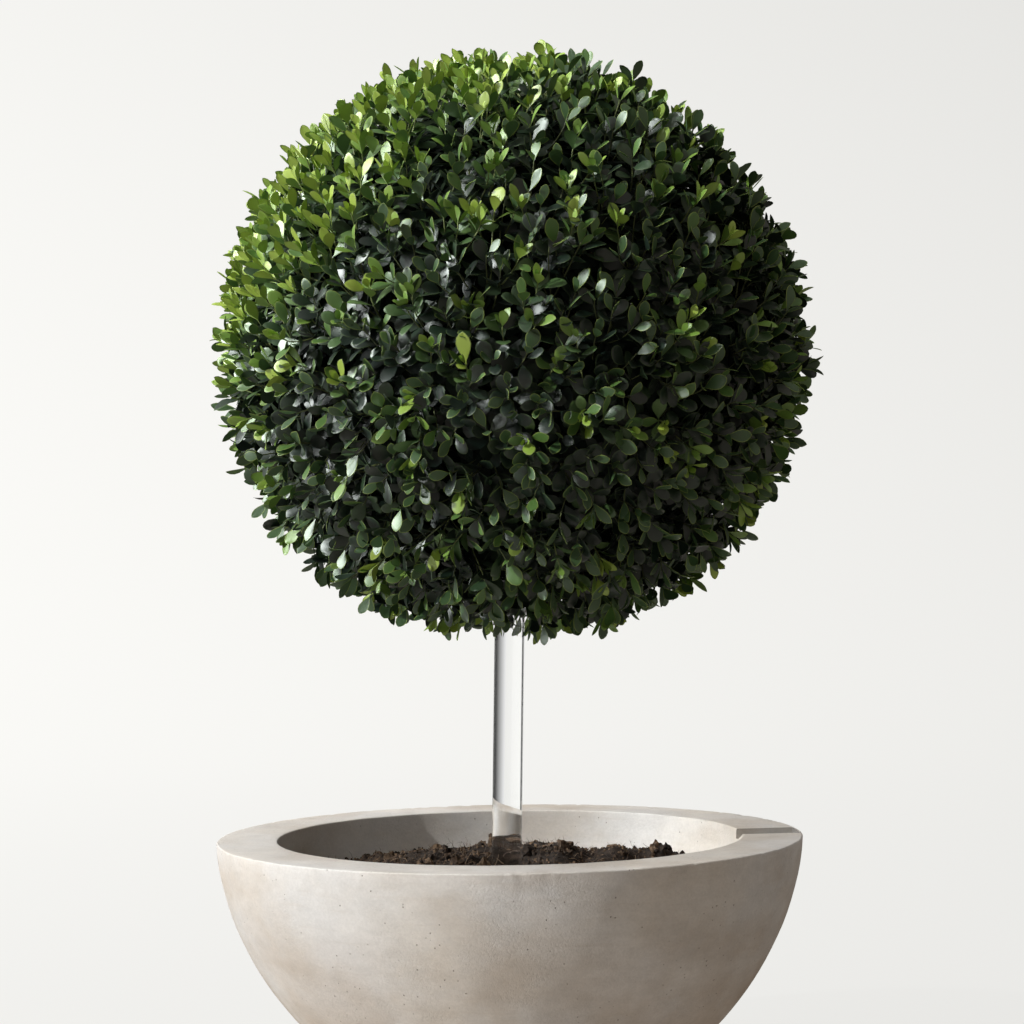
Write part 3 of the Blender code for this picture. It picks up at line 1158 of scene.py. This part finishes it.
def growFork(fork, parents, rng):
    # evenly spread points each join the nearest parent, and the path between them is kept
    count, reach, thickness, steps = crown["forks"][fork]
    nearest = nearestOf(parents)
    middle = rodPoint(crown["middle"])
    grown = []
    for way in evenWays(count, crown["unevenSpread"], rng):
        place = clearOfRod(middle + way * reach * rng.uniform(0.93, 1.05))
        parent = nearest(place)
        heading = (way + strayed(rng, crown["forkStray"])).normalized()
        path = [clearOfRod(p) for p in eased(parent["place"], parent["heading"], place, heading, steps)]
        grown.append(growth(place, heading, path, thickness, way))
    return grown


def makeHub(bark):
    # a woody knuckle with a socket that the rod's top fits
    top = rod["top"] / cos(rod["lean"])
    socket = rod["radius"] + gap
    width = crown["hubRadius"]
    profile = [
        (0, top + gap), (socket, top + gap), (socket, top - 0.034), (width * 0.72, top - 0.036),
        (width * 0.88, top - 0.028), (width, top - 0.012), (width * 1.02, top + 0.002),
        (width * 0.9, top + 0.015), (width * 0.6, top + 0.026), (width * 0.25, top + 0.031),
        (0, top + 0.032),
    ]
    made = settle(turned("crown_hub", list(reversed(profile)), 40, bark))
    for vertex in made.data.vertices:
        if sqrt(vertex.co.x ** 2 + vertex.co.y ** 2) > socket * 1.1 or vertex.co.z > top + gap * 3:
            vertex.co *= 1 + 0.012 * noise.noise(vertex.co / 0.012)
    alongRod(made)
    smoothWithEdges(made, 60)
    return made


def barkFinish():
    made, sheet, shader, flakes = mottledFinish("greyBark", (78, 66, 50), (128, 116, 92), 160, 6, 0.85)
    bump = sheet.chain("ShaderNodeBump", {"Height": flakes, "Strength": 0.6, "Distance": 0.001})
    sheet.feed(shader, "Normal", bump)
    return made


def growCrown():
    rng = Random(crown["seed"])
    reach = skinReach()
    middle = rodPoint(crown["middle"])
    stray = crown["unevenSpread"]
    hubPlace = rodPoint(rod["top"] + crown["startAbove"])
    boughs = []
    count, far, thickness, steps = crown["forks"]["boughs"]
    for way in evenWays(count, stray / 2, rng):
        place = clearOfRod(middle + way * far * rng.uniform(0.9, 1.1))
        leaving = (way + up * crown["startLift"]).normalized()
        path = eased(hubPlace + leaving * crown["startOut"], leaving, place, way, steps)
        path = [path[0]] + [clearOfRod(p) for p in path[1:]]
        boughs.append(growth(place, way, path, thickness, way))
    limbs = growFork("limbs", boughs, rng)
    branches = growFork("branches", limbs, rng)

    nearest = nearestOf(branches)
    paintedLightSide = Vector(crown["paintedLightSide"]).normalized()
    sprays = []
    count, _, thickness, steps = crown["forks"]["sprays"]
    for way in evenWays(count, stray, rng):
        below = crown["tipBelow"] + rng.gauss(0, crown["tipStray"])
        tip = middle + way * (reach(way) - max(crown["tipLeast"], below))
        fromRod = (tip - rodPoint(tip.z)).xy.length
        if tip.z < crown["middle"] and fromRod < crown["rodClear"] + 0.004:
            continue
        rise = (way.z - crown["liftFrom"]) / (crown["liftFull"] - crown["liftFrom"])
        rise = min(1, max(0, rise))
        lift = crown["lift"] * rise * rise * (3 - 2 * rise) - crown["drop"] * max(0, -way.z)
        heading = (way + up * lift + strayed(rng, crown["toss"])).normalized()
        branch = nearest(tip - heading * crown["joinBack"])
        path = eased(branch["place"], branch["heading"], tip, heading, steps)
        # painted light: a spray's vigour leans to the lit side and to darker on the far side, and its
        # greens follow it
        paintedLight = min(1, max(0, crown["paintedLightReach"] * way.dot(paintedLightSide)))
        vigour = rng.random() ** blendBetween(crown["paintedShadePower"], crown["paintedLightPower"], paintedLight)
        sprays.append(growth(tip, heading, path, thickness, way, vigour=vigour))
    return boughs, limbs, branches, sprays


def leafTurn(along, face):
    long = along.normalized()
    side = long.cross(face).normalized()
    return Matrix((side, long, side.cross(long))).transposed().to_euler()


def pointOnPath(path, back):
    # the place and heading at a distance back from the path's end
    for i in range(len(path) - 1, 0, -1):
        end, start = path[i][0], path[i - 1][0]
        length = (end - start).length
        if back <= length or i == 1:
            heading = (end - start).normalized()
            return end - heading * back, heading
        back -= length


def leafOn(place, heading, side, spread, length, kind, shade, way, rng):
    # a leaf that leaves the stem sideways, its upper face towards the stem's tip and the light
    across = heading.cross(side)
    bend = radians(spread + rng.gauss(0, crown["spreadStray"]))
    along = heading * cos(bend) + side * sin(bend)
    face = heading * sin(bend) - side * cos(bend)
    light = way + up * crown["skyward"]
    face += light * leafLean[kind] + across * rng.gauss(0, crown["faceStray"])
    size = length * rng.gauss(1, crown["sizeStray"])
    wide = size * rng.uniform(*crown["leafWidths"])
    return {
        "place": place + side * 0.0006,
        "turn": leafTurn(along, face),
        "size": (wide, size, size),
        "form": rng.randrange(len(leafForms[kind])),
        "shade": shade,
    }


def leafSprays(sprays):
    rng = Random(crown["seed"] + 1)
    leaves = {"young": [], "grown": [], "old": []}
    for spray in sprays:
        vigour = spray["vigour"]
        start = spray["heading"].orthogonal().normalized()
        turn = rng.uniform(0, pi)
        spacing = rng.uniform(*crown["spacings"])
        for number, (back, spread, length, kind) in enumerate(sprayPairs):
            if kind == "bud" and vigour < crown["budVigour"]:
                continue
            if number == len(sprayPairs) - 1 and rng.random() < crown["lostPair"]:
                continue
            place, along = pointOnPath(spray["path"], back * spacing)
            turn += pi / 2 + rng.gauss(0, crown["turnStray"])
            side = Matrix.Rotation(turn, 3, along) @ start
            side = (side - along * side.dot(along)).normalized()
            if kind in ("bud", "young"):
                kind = "young"
                dullness = 1 - vigour + rng.gauss(0, 0.05)
                shade = sum(dullness > share for share in youngShares)
            elif number == 2 and vigour > crown["brightSecond"]:
                kind = "young"
                shade = 2 if vigour > crown["brighterSecond"] else 3
            else:
                shade = int((1 - vigour) * len(leafColours[kind]) * 0.999)
            for facing in (side, -side):
                if rng.random() < crown["lostLeaf"]:
                    continue
                leaf = leafOn(place, along, facing, spread, length, kind, shade, spray["way"], rng)
                leaves[kind].append(leaf)
    return leaves


def innerLeaves(branches, sprays):
    # older, darker leaves along the branches, which close the crown's heart to the eye
    rng = Random(crown["seed"] + 2)
    spread = crown["innerSpread"]
    leaves = []

    def pairOn(stem, back, length):
        way = stem["way"]
        place, along = pointOnPath(stem["path"], back)
        side = (Matrix.Rotation(rng.uniform(0, 2 * pi), 3, along) @ along.orthogonal()).normalized()
        for facing in (side, -side):
            shade = rng.randrange(len(leafColours["inner"]))
            leaves.append(leafOn(place, along, facing, spread, length, "inner", shade, way, rng))

    for branch in branches:
        for back in crown["innerPairs"]:
            pairOn(branch, back, crown["innerLength"])
    for spray in sprays:
        pairOn(spray, crown["innermostPair"], crown["innermostLength"])
    return leaves


def leafTree(group, seed, finishes, edging):
    sheet, given = geometryTree("Leaves on sprays", {
        "Leaf shapes": ("Collection", group),
        "Leaf size": ("Float", 1.0),
        "Flutter": ("Float", crown["flutter"]),
        "Seed": ("Int", seed),
    })
    shapes = sheet.chain("GeometryNodeCollectionInfo", {
        "Collection": given["Leaf shapes"], "Separate Children": True, "Reset Children": True,
    })
    size = sheet.chain("ShaderNodeVectorMath", {
        0: sheet.named("size", "FLOAT_VECTOR"), "Scale": given["Leaf size"],
    }, operation="SCALE")
    placed = sheet.chain("GeometryNodeInstanceOnPoints", {
        "Points": given["Geometry"], "Instance": shapes, "Pick Instance": True,
        "Instance Index": sheet.named("form", "INT"), "Rotation": sheet.named("turn", "FLOAT_VECTOR"),
        "Scale": size,
    })
    least = sheet.maths("MULTIPLY", given["Flutter"], -1.0)
    flutter = sheet.lot("FLOAT_VECTOR", least, given["Flutter"], given["Seed"])
    inputs = {"Instances": placed, "Rotation": flutter, "Local Space": True}
    finishTree(sheet, sheet.chain("GeometryNodeRotateInstances", inputs), finishes, "shade", edging)
    return sheet


def leafFinishes(kind):
    roughness, shine = leafGloss[kind]
    return [
        plainFinish(f"{kind}Leaf{number + 1}", linear(*colour), roughness, Specular_IOR_Level=shine)
        for number, colour in enumerate(leafColours[kind])
    ]


def makeLeafPiece(name, leaves, kind, finishes, edging, seed):
    margin = marginWidth if edging else 0
    meshes = [leafMesh(kind + "Leaf", leafOutlines[kind], *form, margin) for form in leafForms[kind]]
    group = sourceShapes(name + "Shape", meshes)
    mesh = meshFrom(name, [leaf["place"] for leaf in leaves], ())
    for value, held in leafValues.items():
        keepValues(mesh, value, held, [leaf[value] for leaf in leaves])
    made = useTree(addObject(name, mesh), leafTree(group, seed, finishes, edging))
    dropAttributes(made.data, *leafValues, "edging")
    clearSources(group)
    return made


def makeCrown():
    boughs, limbs, branches, sprays = growCrown()
    print("crown grown:", len(sprays), "sprays")
    bark = barkFinish()
    wood = [
        plainFinish("brownTwig", linear(88, 78, 52), 0.7),
        plainFinish("oliveTwig", linear(92, 100, 64), 0.6),
        plainFinish("greenTwig", linear(128, 140, 88), 0.5),
    ]
    pieces = [makeHub(bark)]
    forks = (("boughs", boughs, 10, bark), ("limbs", limbs, 7, bark), ("branches", branches, 5, wood[0]))
    for name, grown, sides, finish in forks:
        pieces.append(makeThreads(name, [(stem["path"], 0) for stem in grown], sides, [finish]))
    stems = [(spray["path"], 1 if spray["vigour"] < 0.5 else 2) for spray in sprays]
    pieces.append(makeThreads("spray_stems", stems, 3, wood))

    leaves = leafSprays(sprays)
    leaves["inner"] = innerLeaves(branches, sprays)
    seed = crown["seed"] * 10
    for kind, heap in leaves.items():
        finishes = leafFinishes(kind)
        edging = None
        if kind in marginAndEdgeLightColours:
            edging = plainFinish(kind + "Margin", linear(*marginAndEdgeLightColours[kind]), 0.5)
        parts = 1 + len(heap) * leafTriangles[kind] // crown["mostTriangles"]
        for part in range(parts):
            seed += 1
            name = f"{kind}_leaves_{part + 1}"
            pieces.append(makeLeafPiece(name, heap[part::parts], kind, finishes, edging, seed))
    total = 0
    for piece in pieces:
        bestowed(piece, "crown", slot="leaves")
        count = sum(len(face.vertices) - 2 for face in piece.data.polygons)
        total += count
        print(" ", piece.name, count, "triangles")
    print("crown leafed:", total, "triangles")


makeCrown()
